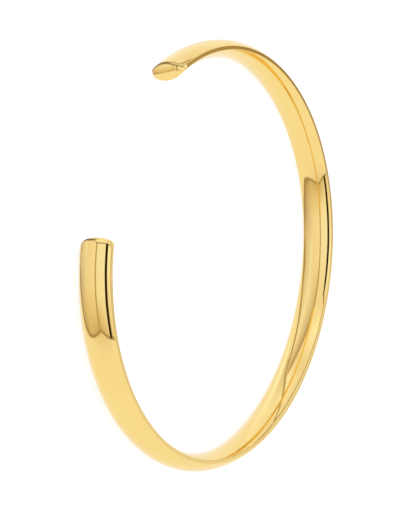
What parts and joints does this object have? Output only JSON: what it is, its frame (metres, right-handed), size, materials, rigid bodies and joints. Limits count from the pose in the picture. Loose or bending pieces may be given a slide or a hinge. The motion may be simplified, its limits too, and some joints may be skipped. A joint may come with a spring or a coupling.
{
  "type": "cuff bangle",
  "caption": "Oval open cuff bangle in polished yellow gold: one slim band, domed outside and inside, with soft-edged square terminals, lying on its side.",
  "frame": {"origin": "centre of the oval, on the plane that the lower rim rests on", "axes": "+Z is the ring's own axis and points up from the surface the cuff lies on, X is the long axis of the oval, and the gap between the terminals faces -Y"},
  "size_m": [0.0628, 0.0512, 0.0051],
  "materials": {
    "gold": null
  },
  "bodies": {
    "root": {"cuff_band": "gold"}
  },
  "joints": []
}
